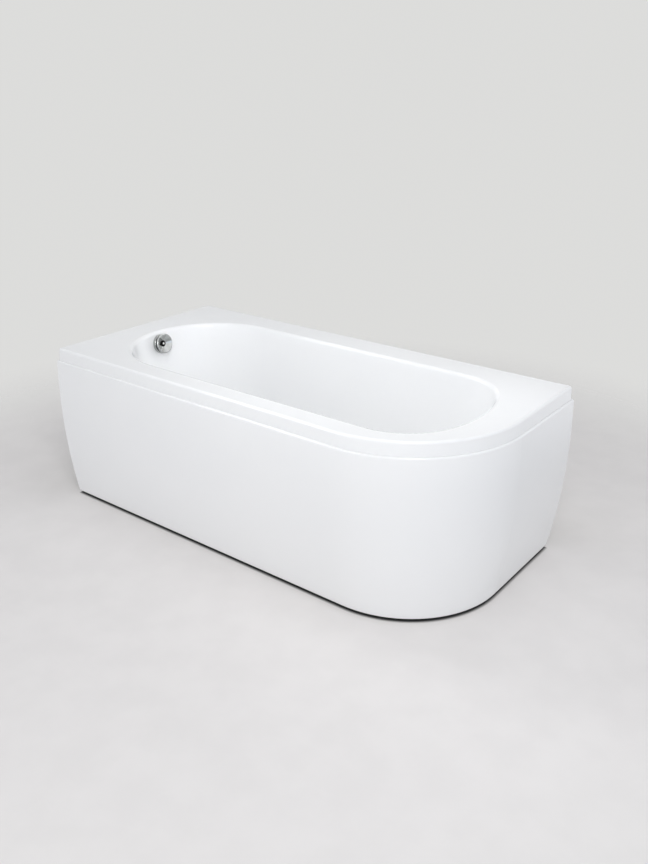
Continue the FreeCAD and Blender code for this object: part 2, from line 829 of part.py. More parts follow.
def cable_clips():
    """Clips that tie the cable to the pipe's upright run."""
    clips = []
    run = spigot_bottom - pipe_low - pipe_bend
    half = cable_radius + clip_wall
    for share in clip_shares:
        z = spigot_bottom - run * share
        pipe_spot = vec(pipe_x, basin_y, z)
        cable_spot = vec(pipe_x, cable_y, z)
        clip = cylinder(pipe_radius + clip_wall, clip_height, pipe_spot)
        clip = clip.fuse(cylinder(half, clip_height, cable_spot))
        clip = clip.fuse(box(pipe_spot - along * half, cable_spot + along * half + up * clip_height))
        clip = clip.removeSplitter()
        clip = clip.cut(through(pipe_radius + fit, pipe_spot, up))
        clips.append(clip.cut(through(cable_radius + fit, cable_spot, up)).Solids[0])
    return clips


# Waste, plug and trap

waste_top = basin_floor + waste_flange_thickness
tube_bottom = basin_floor - waste_tube_length
body_top = shell_bottom - seal_thickness
body_bottom = body_top - waste_body_length
trap_low = trap_floor_gap + trap_pipe_radius
trap_rise = trap_low + trap_bend + trap_outlet_bend


plug_bottom = waste_top + seat_gap
lever_tip_low = plug_bottom - stem_length - seat_gap - lever_tip_radius
lever_pivot = vec(waste_x - lever_arm, basin_y, lever_tip_low + plug_travel / 2)
lever_swing = math.asin(plug_travel / 2 / lever_arm)
lever_pin_half = math.sqrt(waste_bore_radius * waste_bore_radius - lever_arm * lever_arm) + lever_pin_hold


def at_waste(z):
    return vec(waste_x, basin_y, z)


def waste_flange():
    """Plated flange, its tube and the spider that guides the plug's stem."""
    flange = cylinder(waste_flange_radius, waste_flange_thickness, at_waste(basin_floor))
    rim = [edge for edge in flange.Edges if edge.BoundBox.ZMin > waste_top - fit]
    flange = flange.makeFillet(waste_flange_thickness / 2, rim)
    tube = cylinder(waste_tube_radius, waste_tube_length, at_waste(tube_bottom))
    flange = flange.fuse(tube).removeSplitter()
    bore = cylinder(waste_bore_radius, waste_tube_length + waste_flange_thickness, at_waste(tube_bottom))
    flange = flange.cut(bore)
    reach = (waste_bore_radius + waste_tube_radius) / 2
    arms = []
    for k in range(3):
        arm_high = vec(reach, spider_arm / 2, tube_bottom + spider_height)
        arm = box(vec(0, -spider_arm / 2, tube_bottom), arm_high)
        arm.rotate(vec(0, 0, 0), up, 120 * k)
        arm.translate(vec(waste_x, basin_y, 0))
        arms.append(arm)
    hub = cylinder(spider_hub_radius, spider_height, at_waste(tube_bottom))
    flange = flange.fuse(arms + [hub]).removeSplitter()
    return flange.cut(through(stem_radius + fit, at_waste(tube_bottom), up)).Solids[0]


def waste_seal():
    """Rubber washer between the basin's underside and the waste body."""
    return ring(waste_flange_radius, waste_tube_radius + fit, seal_thickness, at_waste(body_top))


def waste_body():
    """Plastic tee under the basin: collar, overflow inlet, cable boss and threaded outlet."""
    collar = cylinder(waste_flange_radius, waste_body_collar, at_waste(body_top - waste_body_collar))
    barrel_bottom = body_bottom + trap_nut_height
    barrel = cylinder(waste_body_radius, body_top - barrel_bottom, at_waste(barrel_bottom))
    thread = cylinder(trap_thread_radius, waste_body_length, at_waste(body_bottom))
    inlet = cylinder(pipe_radius + pipe_wall + fit, waste_body_radius + waste_inlet_length,
                     at_waste(pipe_low), along * -1)
    cable_start = at_waste(pipe_low) + inward * cable_offset
    boss = cylinder(cable_socket_radius, waste_body_radius + waste_inlet_length, cable_start, along * -1)
    body = collar.fuse([barrel, thread, inlet, boss]).removeSplitter()
    socket = waste_body_radius + waste_inlet_length
    tube_end = tube_bottom - seat_gap
    tube_bore = cylinder(waste_tube_radius + fit, body_top - tube_end, at_waste(tube_end))
    bore = cylinder(waste_bore_radius, waste_body_length, at_waste(body_bottom))
    pipe_end = at_waste(pipe_low) - along * waste_body_radius
    pipe_bore = cylinder(pipe_radius + fit, socket, pipe_end, along * -1)
    inlet_bore = cylinder(pipe_radius - pipe_wall, socket, at_waste(pipe_low), along * -1)
    cable_bore = cylinder(cable_radius + fit, socket, cable_start - along * waste_body_radius, along * -1)
    pin_hole = through(lever_pin_radius + fit, lever_pivot, inward, lever_pin_half)
    return body.cut([tube_bore, bore, pipe_bore, inlet_bore, cable_bore, pin_hole]).Solids[0]


def trap_nut():
    """Ribbed union nut that pulls the trap's collar up to the waste body."""
    base = body_bottom - 2 * trap_collar
    reach = trap_nut_radius - trap_rib_radius
    nut = cylinder(reach, trap_nut_height, at_waste(base))
    ribs = []
    for k in range(trap_nut_ribs):
        turn = 2 * math.pi * k / trap_nut_ribs
        spot = at_waste(base) + vec(reach * math.cos(turn), reach * math.sin(turn), 0)
        ribs.append(cylinder(trap_rib_radius, trap_nut_height, spot))
    nut = nut.fuse(ribs).removeSplitter()
    nut = nut.cut(cylinder(trap_thread_radius + fit, trap_nut_height, at_waste(base + trap_collar)))
    return nut.cut(through(trap_pipe_radius + fit, at_waste(base), up)).Solids[0]


def trap_bend_pipe():
    """Shallow U-shaped trap and its straight outlet towards the back wall."""
    far_y = basin_y + 2 * trap_bend
    points = [
        at_waste(body_bottom),
        at_waste(trap_low),
        vec(waste_x, far_y, trap_low),
        vec(waste_x, far_y, trap_rise),
        vec(waste_x, back - outlet_wall_gap, trap_rise),
    ]
    radii = [trap_bend - fit, trap_bend - fit, trap_outlet_bend - fit]
    outer = bent_rod(points, radii, trap_pipe_radius)
    outer = outer.fuse(cylinder(trap_thread_radius, trap_collar, at_waste(body_bottom - trap_collar)))
    bore = bent_rod(points, radii, trap_pipe_radius - trap_pipe_wall)
    return outer.removeSplitter().cut(bore).Solids[0]


def plug_cap():
    """Plated domed plug."""
    edge = cylinder(plug_radius, plug_edge, at_waste(plug_bottom))
    dome = (plug_radius * plug_radius + plug_crown * plug_crown) / (2 * plug_crown)
    ball = Part.makeSphere(dome, at_waste(plug_bottom + plug_edge + plug_crown - dome))
    crown = cylinder(plug_radius, plug_crown, at_waste(plug_bottom + plug_edge)).common(ball)
    return edge.fuse(crown).removeSplitter().Solids[0]


def plug_stem():
    """Steel stem under the plug, guided by the spider."""
    return cylinder(stem_radius, stem_length, at_waste(plug_bottom - stem_length))


def plug_seal():
    """Rubber ring under the plug that closes the flange's bore."""
    outer = waste_bore_radius - seat_gap
    return ring(outer, outer - plug_seal_wall, plug_seal_height, at_waste(plug_bottom - plug_seal_height))


def lift_lever():
    """Lever in the waste body: the cable turns it and its round tip lifts the plug's stem."""
    tip = lever_pivot + along * (lever_arm * math.cos(lever_swing)) - up * (plug_travel / 2)
    start = -inward * (lever_width / 2)
    eye = cylinder(lever_eye_radius, lever_width, lever_pivot + start, inward)
    nose = cylinder(lever_tip_radius, lever_width, tip + start, inward)
    run = (tip - lever_pivot).normalize()
    side = run.cross(inward)
    corners = [
        lever_pivot + start + side * (lever_thickness / 2),
        tip + start + side * (lever_thickness / 2),
        tip + start - side * (lever_thickness / 2),
        lever_pivot + start - side * (lever_thickness / 2),
    ]
    lever = eye.fuse([nose, polygon(corners, inward * lever_width)]).removeSplitter()
    return lever.cut(through(lever_pin_radius + fit / 2, lever_pivot, inward)).Solids[0]


def lever_pin():
    """Steel pin across the waste body that the lever turns on."""
    half = lever_pin_half - fit
    return cylinder(lever_pin_radius, 2 * half, lever_pivot - inward * half, inward)


def cable_spool():
    """Grooved spool on the spindle that winds the pull cable."""
    base = along_overflow(body_back + overflow_body_wall + 2 * seat_gap)
    spool = cylinder(spool_radius, spool_height, base, overflow_axis)
    flank = (spool_height - spool_groove) / 2
    groove_base = base + overflow_axis * flank
    groove_floor = spool_radius - spool_groove
    groove = ring(spool_radius + overrun, groove_floor, spool_groove, groove_base, overflow_axis)
    return spool.cut(groove).cut(through(spindle_radius, base, overflow_axis)).Solids[0]


def main():
    """Build and write every piece."""
    os.makedirs("parts", exist_ok=True)
    shell = bath_shell()
    save("bath_shell", shell)
    save("front_panel", front_panel())
    save("panel_hooks", *panel_hooks())
    hook_grip = panel_wall + hook_thickness
    save("panel_hook_screws", *[panel_screw(spot, hook_grip) for spot in hook_screw_places])
    for name, x in zip(("left", "right"), rail_x):
        save("panel_bracket_" + name, panel_bracket(x))
        save("cradle_rail_" + name, cradle_rail(x))
    save("panel_bracket_screws", *[panel_screw(spot, panel_screw_length) for spot in bracket_screw_places])
    bolts = [screw(bracket_bolt_place(x), along, strip_thickness + rail_wall, bolt_radius, bolt_head_radius,
                   bolt_head_height) for x in rail_x]
    save("panel_bracket_bolts", *bolts)
    for name, cleat in zip(("left", "right"), panel_cleats()):
        save("panel_cleat_" + name, cleat)
    save("panel_cleat_screws", *[panel_screw(spot, panel_screw_length) for spot in cleat_screw_places])
    for name, share in zip(("left", "right"), back_bracket_shares):
        spot = vec(left + length * share, back, lip_bottom)
        save("wall_bracket_back_" + name, wall_bracket(spot, inward * -1, along))
    save("wall_bracket_end", wall_bracket(vec(left, basin_y, lip_bottom), along, inward))
    save("base_board", base_board())
    down = up * -1
    save("rail_screws", *[screw(spot, down, board_screw_length + rail_wall, screw_radius, screw_head_radius,
                                screw_head_height) for spot in board_screws])
    save("centre_foot_plate", centre_plate())
    save("centre_plate_screws", *[screw(spot, down, board_screw_length + rail_wall, screw_radius,
                                        screw_head_radius, screw_head_height) for spot in plate_screws])
    save("levelling_rods", *levelling_rods())
    save("lock_nuts", *lock_nuts())
    for number, spot in enumerate(foot_places, 1):
        save("foot_pad_" + str(number), foot_pad(spot))
    save("overflow_gasket", overflow_gasket())
    save("overflow_flange", overflow_flange())
    save("overflow_knob", overflow_knob())
    save("knob_spindle", knob_spindle())
    save("cable_spool", cable_spool())
    save("overflow_body", overflow_body(shell))
    save("overflow_pipe", overflow_pipe())
    save("cable_sheath", cable_sheath())
    save("cable_clips", *cable_clips())
    save("waste_flange", waste_flange())
    save("waste_seal", waste_seal())
    save("waste_body", waste_body())
    save("plug_cap", plug_cap())
    save("plug_stem", plug_stem())
    save("plug_seal", plug_seal())
    save("lift_lever", lift_lever())
    save("lever_pin", lever_pin())
    save("trap_nut", trap_nut())
    save("trap_bend", trap_bend_pipe())


main()
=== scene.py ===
"""Looks of a white corner bath: its camera, studio, finishes and finer metal pieces."""

import json
import logging
import math
from dataclasses import dataclass
from enum import Enum
from typing import Any, ClassVar

import bpy
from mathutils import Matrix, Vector


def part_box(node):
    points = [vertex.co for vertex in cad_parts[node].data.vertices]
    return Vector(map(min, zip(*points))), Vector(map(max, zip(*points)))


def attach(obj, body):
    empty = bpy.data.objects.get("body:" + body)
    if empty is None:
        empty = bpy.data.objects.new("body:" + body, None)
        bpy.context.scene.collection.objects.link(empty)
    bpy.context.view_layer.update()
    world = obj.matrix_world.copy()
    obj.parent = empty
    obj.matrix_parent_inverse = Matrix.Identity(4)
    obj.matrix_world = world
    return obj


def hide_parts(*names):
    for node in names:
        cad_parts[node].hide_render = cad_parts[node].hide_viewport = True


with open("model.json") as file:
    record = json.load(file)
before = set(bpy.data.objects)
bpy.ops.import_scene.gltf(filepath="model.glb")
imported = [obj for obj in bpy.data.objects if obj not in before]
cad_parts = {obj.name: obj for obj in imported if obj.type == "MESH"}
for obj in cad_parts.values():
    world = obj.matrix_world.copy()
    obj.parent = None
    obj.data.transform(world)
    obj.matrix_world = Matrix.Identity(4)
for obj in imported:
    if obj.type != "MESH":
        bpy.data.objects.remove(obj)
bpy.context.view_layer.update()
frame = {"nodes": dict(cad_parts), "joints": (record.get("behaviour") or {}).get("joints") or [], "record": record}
LOG = logging.getLogger("bath")

Colour = tuple[float, float, float]
Point = tuple[float, float, float]
Span = tuple[float, float]
Node = bpy.types.Node
Outputs = bpy.types.NodeOutputs
Socket = bpy.types.NodeSocket
Material = bpy.types.Material
Piece = bpy.types.Object
Links = dict[str, Socket]

# Readings between which soft noise lies
NOISE_SPAN: Span = (0.3, 0.7)


class Slot(Enum):
    """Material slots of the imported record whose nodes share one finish."""

    ZINC = "zinc_steel"
    BOARD = "board"
    BLACK_PLASTIC = "black_plastic"
    RUBBER = "black_rubber"
    WHITE_PLASTIC = "white_plastic"


class Body(Enum):
    """Bodies that new pieces ride on."""

    BATH = "bath"


class NodeBoard:
    """Places and joins shader nodes in one tree."""

    def __init__(self, tree: bpy.types.NodeTree) -> None:
        """Start on an emptied tree."""
        self.tree = tree
        tree.nodes.clear()

    def add(self, kind: str, **settings: Any) -> Node:
        """Place a node.

        Args:
            kind: Blender's name of the node type.
            settings: node properties, set as they are.

        Returns:
            The new node.
        """
        node = self.tree.nodes.new(kind)
        for name, value in settings.items():
            setattr(node, name, value)
        return node

    def feed(self, socket: Socket, value: Any) -> None:
        """Link an output to a socket, or set the socket's own value.

        Args:
            socket: the input that is fed.
            value: an output, or a plain value.
        """
        if isinstance(value, Socket):
            self.tree.links.new(value, socket)
        else:
            socket.default_value = value

    def math(self, operation: str, *values: Any) -> Socket:
        """Place a Math node.

        Args:
            operation: what it works out.
            values: links or numbers.

        Returns:
            Its result.
        """
        node = self.add("ShaderNodeMath", operation=operation)
        for socket, value in zip(node.inputs, values):
            self.feed(socket, value)
        return node.outputs[0]

    def vector(self, operation: str, *values: Any) -> Socket:
        """Place a Vector Math node.

        Args:
            operation: what it works out.
            values: links or vectors.

        Returns:
            Its result, a number where the operation gives one.
        """
        node = self.add("ShaderNodeVectorMath", operation=operation)
        for socket, value in zip(node.inputs, values):
            self.feed(socket, value)
        scalar = operation in ("LENGTH", "DOT_PRODUCT")
        return node.outputs["Value" if scalar else "Vector"]

    def parts(self, link: Socket) -> Outputs:
        """Split a vector.

        Args:
            link: the vector.

        Returns:
            Outputs named X, Y and Z.
        """
        node = self.add("ShaderNodeSeparateXYZ")
        self.feed(node.inputs[0], link)
        return node.outputs

    def mix(self, share: Any, first: Any, second: Any) -> Socket:
        """Mix two colours.

        Args:
            share: 0 for the first colour, 1 for the second.
            first: link or colour.
            second: link or colour.

        Returns:
            The mixed colour.
        """
        node = self.add("ShaderNodeMix", data_type="RGBA")
        colours = [socket for socket in node.inputs if socket.type == "RGBA"]
        self.feed(node.inputs[0], share)
        self.feed(colours[0], first)
        self.feed(colours[1], second)
        return next(socket for socket in node.outputs if socket.type == "RGBA")

    def ramp(self, value: Any, low: float, high: float, start: float = 0.0, end: float = 1.0) -> Socket:
        """Carry a value smoothly from one range to another.

        Args:
            value: link that is read.
            low: reading that gives start.
            high: reading that gives end.
            start: result at low.
            end: result at high.

        Returns:
            The carried value.
        """
        node = self.add("ShaderNodeMapRange", interpolation_type="SMOOTHSTEP")
        for socket, entry in zip(node.inputs, (value, low, high, start, end)):
            self.feed(socket, entry)
        return node.outputs[0]

    def place(self, stretch: Any = None) -> Socket:
        """Read Object coordinates.

        Args:
            stretch: scale of each axis, where a pattern runs one way.

        Returns:
            The coordinates.
        """
        coordinates = self.add("ShaderNodeTexCoord").outputs["Object"]
        if stretch is None:
            return coordinates
        mapping = self.add("ShaderNodeMapping")
        self.feed(mapping.inputs["Vector"], coordinates)
        self.feed(mapping.inputs["Scale"], stretch)
        return mapping.outputs[0]

    def normal(self) -> Socket:
        """The surface's normal."""
        return self.add("ShaderNodeNewGeometry").outputs["Normal"]

    def noise(self, place: Socket, scale: Any, detail: float) -> Socket:
        """Place soft noise.

        Args:
            place: coordinates.
            scale: link or number, per metre.
            detail: how many finer layers it has.

        Returns:
            The noise, mostly within NOISE_SPAN.
        """
        node = self.add("ShaderNodeTexNoise")
        self.feed(node.inputs["Vector"], place)
        self.feed(node.inputs["Scale"], scale)
        node.inputs["Detail"].default_value = detail
        return node.outputs[0]

    def cells(self, place: Socket, scale: float, feature: str = "F1") -> Outputs:
        """Place a pattern of cells.

        Args:
            place: coordinates.
            scale: cells per metre.
            feature: what of the cells is measured.

        Returns:
            The pattern's outputs.
        """
        node = self.add("ShaderNodeTexVoronoi", feature=feature)
        self.feed(node.inputs["Vector"], place)
        node.inputs["Scale"].default_value = scale
        return node.outputs

    def red(self, link: Socket) -> Socket:
        """Read a colour's red share, which each cell of a pattern has its own of.

        Args:
            link: the colour.

        Returns:
            The share.
        """
        node = self.add("ShaderNodeSeparateColor")
        self.feed(node.inputs[0], link)
        return node.outputs[0]

    def group(self, tree: bpy.types.NodeTree, **inputs: Any) -> Outputs:
        """Place a shared effect with its own values.

        Args:
            tree: the effect's group.
            inputs: links or values by input name, an underscore for a space.

        Returns:
            The effect's outputs.
        """
        node = self.add("ShaderNodeGroup", node_tree=tree)
        for name, value in inputs.items():
            self.feed(node.inputs[name.replace("_", " ")], value)
        return node.outputs


class Effects:
    """Effects that several finishes share, each a node group built once."""

    FLOAT: ClassVar[str] = "NodeSocketFloat"
    COLOUR: ClassVar[str] = "NodeSocketColor"
    VECTOR: ClassVar[str] = "NodeSocketVector"
    CLOUD_DETAIL: ClassVar[float] = 3.0
    RELIEF_DETAIL: ClassVar[float] = 4.0
    DUST_DETAIL: ClassVar[float] = 5.0
    DUST_SLOPE: ClassVar[Span] = (0.2, 0.95)
    DUST_PATCHES: ClassVar[Span] = (0.35, 0.65)

    def __init__(self) -> None:
        """Build the groups."""
        self.cloud = self._cloud()
        self.relief = self._relief()
        self.dust = self._dust()

    @staticmethod
    def _open(name: str, inputs: dict[str, str], outputs: dict[str, str]) -> tuple[NodeBoard, Node, Node]:
        """Start a group.

        Args:
            name: the group's name.
            inputs: socket types by input name.
            outputs: socket types by output name.

        Returns:
            The group's board, its input node and its output node.
        """
        tree = bpy.data.node_groups.new(name, "ShaderNodeTree")
        board = NodeBoard(tree)
        for entry, kind in inputs.items():
            tree.interface.new_socket(entry, in_out="INPUT", socket_type=kind)
        for entry, kind in outputs.items():
            tree.interface.new_socket(entry, in_out="OUTPUT", socket_type=kind)
        return board, board.add("NodeGroupInput"), board.add("NodeGroupOutput")

    def _cloud(self) -> bpy.types.NodeTree:
        """Build the slow drift between two tones of a cast or plated surface.

        Returns:
            The group.
        """
        inputs = {"Scale": self.FLOAT, "Light Tone": self.COLOUR, "Dark Tone": self.COLOUR}
        outputs = {"Tone": self.COLOUR, "Cloud": self.FLOAT}
        board, source, result = self._open("cloudy_tone", inputs, outputs)
        noise = board.noise(board.place(), source.outputs["Scale"], self.CLOUD_DETAIL)
        cloud = board.ramp(noise, *NOISE_SPAN)
        tone = board.mix(cloud, source.outputs["Dark Tone"], source.outputs["Light Tone"])
        board.feed(result.inputs["Tone"], tone)
        board.feed(result.inputs["Cloud"], cloud)
        return board.tree

    def _relief(self) -> bpy.types.NodeTree:
        """Build the fine unevenness of a surface, stretched where it was drawn or brushed.

        Returns:
            The group.
        """
        inputs = {"Scale": self.FLOAT, "Stretch": self.VECTOR}
        board, source, result = self._open("fine_relief", inputs, {"Height": self.FLOAT})
        place = board.place(source.outputs["Stretch"])
        height = board.noise(place, source.outputs["Scale"], self.RELIEF_DETAIL)
        board.feed(result.inputs["Height"], height)
        return board.tree

    def _dust(self) -> bpy.types.NodeTree:
        """Build the dust that settles on faces which look up.

        Returns:
            The group.
        """
        inputs = {"Scale": self.FLOAT, "Amount": self.FLOAT}
        board, source, result = self._open("settled_dust", inputs, {"Dust": self.FLOAT})
        level = board.ramp(board.parts(board.normal())["Z"], *self.DUST_SLOPE)
        noise = board.noise(board.place(), source.outputs["Scale"], self.DUST_DETAIL)
        patches = board.ramp(noise, *self.DUST_PATCHES)
        amount = board.math("MULTIPLY", level, source.outputs["Amount"])
        board.feed(result.inputs["Dust"], board.math("MULTIPLY", amount, patches))
        return board.tree


def opaque(colour: Colour) -> tuple[float, float, float, float]:
    """Colour with full alpha."""
    return (*colour, 1.0)


def nodes_of(slot: Slot) -> list[str]:
    """CAD nodes that the record gives a material slot."""
    return [part["node"] for part in frame["record"]["subparts"] if part["material_slot"] == slot.value]


@dataclass(frozen=True)
class Finish:
    """A surface finish: two close tones, gloss and fine relief.

    Fields hold the light and dark tone, the size of their drift per metre, the roughness and how far it
    varies, and the relief's frequency, stretch and height in metres.
    """

    name: str
    light: Colour
    dark: Colour
    cloud_scale: float
    roughness: float
    roughness_drift: float
    relief_scale: float
    relief_height: float
    relief_stretch: Point = (1.0, 1.0, 1.0)
    metallic: float = 0.0
    ior: float = 1.5
    dust: float = 0.0
    dust_tone: ClassVar[Colour] = (0.45, 0.43, 0.40)
    dust_scale: ClassVar[float] = 30.0

    def start(self, effects: Effects) -> tuple[NodeBoard, Node, Links]:
        """Begin the material.

        Args:
            effects: the shared groups.

        Returns:
            The board, its shader, and the links so far: tone, roughness and height.
        """
        material = bpy.data.materials.new(self.name)
        material.use_nodes = True
        board = NodeBoard(material.node_tree)
        shader = board.add("ShaderNodeBsdfPrincipled")
        shader.inputs["IOR"].default_value = self.ior
        shader.inputs["Metallic"].default_value = self.metallic
        board.feed(board.add("ShaderNodeOutputMaterial").inputs["Surface"], shader.outputs[0])
        cloud = board.group(effects.cloud, Scale=self.cloud_scale, Light_Tone=opaque(self.light),
                            Dark_Tone=opaque(self.dark))
        relief = board.group(effects.relief, Scale=self.relief_scale, Stretch=self.relief_stretch)
        low = self.roughness - self.roughness_drift
        high = self.roughness + self.roughness_drift
        links = {"tone": cloud["Tone"], "height": relief["Height"]}
        links["roughness"] = board.ramp(links["height"], *NOISE_SPAN, low, high)
        if self.dust:
            dust = board.group(effects.dust, Scale=self.dust_scale, Amount=self.dust)["Dust"]
            links["tone"] = board.mix(dust, links["tone"], opaque(self.dust_tone))
            links["roughness"] = board.math("MAXIMUM", links["roughness"], dust)
        return board, shader, links

    def close(self, board: NodeBoard, shader: Node, links: Links) -> Material:
        """Join the links to the shader.

        Args:
            board: the material's board.
            shader: its Principled shader.
            links: tone, roughness and height.

        Returns:
            The finished material.
        """
        board.feed(shader.inputs["Base Color"], links["tone"])
        board.feed(shader.inputs["Roughness"], links["roughness"])
        bump = board.add("ShaderNodeBump")
        bump.inputs["Distance"].default_value = self.relief_height
        board.feed(bump.inputs["Height"], links["height"])
        board.feed(shader.inputs["Normal"], bump.outputs[0])
        return bpy.data.materials[self.name]

    def make(self, effects: Effects) -> Material:
        """Material with nothing but the shared effects."""
        return self.close(*self.start(effects))


@dataclass(frozen=True)
class Laminate(Finish):
    """Glossy acrylic whose hidden side is rough glass-fibre laminate."""

    underside: ClassVar[Span] = (-0.02, -0.09)
    resin: ClassVar[Colour] = (0.70, 0.68, 0.58)
    strand: ClassVar[Colour] = (0.82, 0.81, 0.75)
    strand_scale: ClassVar[float] = 55.0
    strand_stretch: ClassVar[Point] = (1.0, 3.0, 2.0)
    strand_width: ClassVar[float] = 0.12
    hidden_roughness: ClassVar[float] = 0.62

    def hidden_side(self, board: NodeBoard) -> Socket:
        """Mask of faces that look down, which on the shell are its underside."""
        return board.ramp(board.parts(board.normal())["Z"], *self.underside)

    def make(self, effects: Effects) -> Material:
        """Make acrylic outside, and chopped strands in resin on the hidden side.

        Args:
            effects: the shared groups.

        Returns:
            The finished material.
        """
        board, shader, links = self.start(effects)
        hidden = self.hidden_side(board)
        strands = board.cells(board.place(self.strand_stretch), self.strand_scale, "DISTANCE_TO_EDGE")
        fibre = board.ramp(strands["Distance"], 0.0, self.strand_width)
        weave = board.mix(fibre, opaque(self.strand), opaque(self.resin))
        links["tone"] = board.mix(hidden, links["tone"], weave)
        rough = board.math("MULTIPLY", hidden, self.hidden_roughness)
        links["roughness"] = board.math("MAXIMUM", links["roughness"], rough)
        strand_height = board.math("MULTIPLY", hidden, fibre)
        links["height"] = board.math("ADD", links["height"], strand_height)
        return self.close(board, shader, links)


@dataclass(frozen=True)
class PanelLaminate(Laminate):
    """The panel's acrylic: its hidden side is the one that looks towards the basin."""

    corner: tuple[float, float] = (0.0, 0.0)
    inner_face: ClassVar[Span] = (-0.02, -0.08)

    def hidden_side(self, board: NodeBoard) -> Socket:
        """Mask faces whose normal points in, towards the middle of the rounded corner.

        Args:
            board: the material's board.

        Returns:
            The mask.
        """
        place = board.parts(board.place())
        normal = board.parts(board.normal())
        out_x = board.math("MAXIMUM", board.math("SUBTRACT", place["X"], self.corner[0]), 0.0)
        out_y = board.math("MINIMUM", board.math("SUBTRACT", place["Y"], self.corner[1]), 0.0)
        along_x = board.math("MULTIPLY", out_x, normal["X"])
        along_y = board.math("MULTIPLY", out_y, normal["Y"])
        return board.ramp(board.math("ADD", along_x, along_y), *self.inner_face)


@dataclass(frozen=True)
class Chipboard(Finish):
    """Pressed wood chips."""

    chip: ClassVar[Colour] = (0.60, 0.45, 0.27)
    chip_scale: ClassVar[float] = 160.0
    chip_stretch: ClassVar[Point] = (1.0, 2.2, 1.6)

    def make(self, effects: Effects) -> Material:
        """Make chips of many tones over the board's own drift.

        Args:
            effects: the shared groups.

        Returns:
            The finished material.
        """
        board, shader, links = self.start(effects)
        chips = board.cells(board.place(self.chip_stretch), self.chip_scale)
        links["tone"] = board.mix(board.red(chips["Color"]), links["tone"], opaque(self.chip))
        links["height"] = board.math("ADD", links["height"], chips["Distance"])
        return self.close(board, shader, links)


@dataclass(frozen=True)
class Spangle(Finish):
    """Zinc-plated steel with faint crystals."""

    crystal_scale: ClassVar[float] = 90.0
    crystal_contrast: ClassVar[float] = 0.35
    crystal_roughness: ClassVar[float] = 0.3

    def make(self, effects: Effects) -> Material:
        """Make crystals that differ a little in tone and gloss.

        Args:
            effects: the shared groups.

        Returns:
            The finished material.
        """
        board, shader, links = self.start(effects)
        crystals = board.cells(board.place(), self.crystal_scale)
        share = board.ramp(board.red(crystals["Color"]), 0.0, 1.0, 0.0, self.crystal_contrast)
        links["tone"] = board.mix(share, links["tone"], opaque(self.dark))
        rough = board.math("MULTIPLY", share, self.crystal_roughness)
        links["roughness"] = board.math("ADD", links["roughness"], rough)
        return self.close(board, shader, links)


@dataclass(frozen=True)
class SocketPlatingPaintedShade(Finish):
    """Plating on a turned piece whose socket and back get painted shade: a near-black colour for the recess and
    the gap behind it.

    Fields add a point on the piece's axle, the axle's direction and the socket's radius.
    """

    point: Point = (0.0, 0.0, 0.0)
    direction: Point = (1.0, 0.0, 0.0)
    socket_radius: float = 0.0
    back_face: ClassVar[Span] = (-0.05, -0.2)
    # painted shade: near-black tone that stands in for the shade in the socket and behind the piece
    painted_shade: ClassVar[Colour] = (0.006, 0.006, 0.006)
    painted_shade_roughness: ClassVar[float] = 0.55
    edge: ClassVar[float] = 0.0006

    def make(self, effects: Effects) -> Material:
        """Make chrome, with painted shade, near black and rough, inside the socket's radius and on faces that look
        back.

        Args:
            effects: the shared groups.

        Returns:
            The finished material.
        """
        board, shader, links = self.start(effects)
        offset = board.vector("SUBTRACT", board.place(), self.point)
        across = board.vector("LENGTH", board.vector("CROSS_PRODUCT", offset, self.direction))
        inside = board.ramp(across, self.socket_radius + self.edge, self.socket_radius)
        facing = board.vector("DOT_PRODUCT", board.normal(), self.direction)
        # painted shade: the socket and the faces that look back are coloured near black, as if in shade
        dark = board.math("MAXIMUM", inside, board.ramp(facing, *self.back_face))
        links["tone"] = board.mix(dark, links["tone"], opaque(self.painted_shade))
        rough = board.math("MULTIPLY", dark, self.painted_shade_roughness)
        links["roughness"] = board.math("MAXIMUM", links["roughness"], rough)
        return self.close(board, shader, links)


@dataclass(frozen=True)
class Axle:
    """A joint's line: a point on it and its direction."""

    point: Vector
    direction: Vector

    @classmethod
    def of(cls, joint: str) -> "Axle":
        """Axle of a joint in the record."""
        entry = next(item for item in frame["joints"] if item["name"] == joint)
        return cls(Vector(entry["pos_m"]), Vector(entry["axis"]).normalized())

    def levels(self, node: str, radius: float) -> list[float]:
        """Find the places along the axle at which a CAD node has corners.

        Args:
            node: the CAD node.
            radius: how far from the axle corners still count.

        Returns:
            The places in metres from the axle's point, sorted, to a tenth of a millimetre.
        """
        found = set()
        for vertex in frame["nodes"][node].data.vertices:
            offset = vertex.co - self.point
            along = offset.dot(self.direction)
            if (offset - along * self.direction).length < radius:
                found.add(round(along, 4))
        return sorted(found)


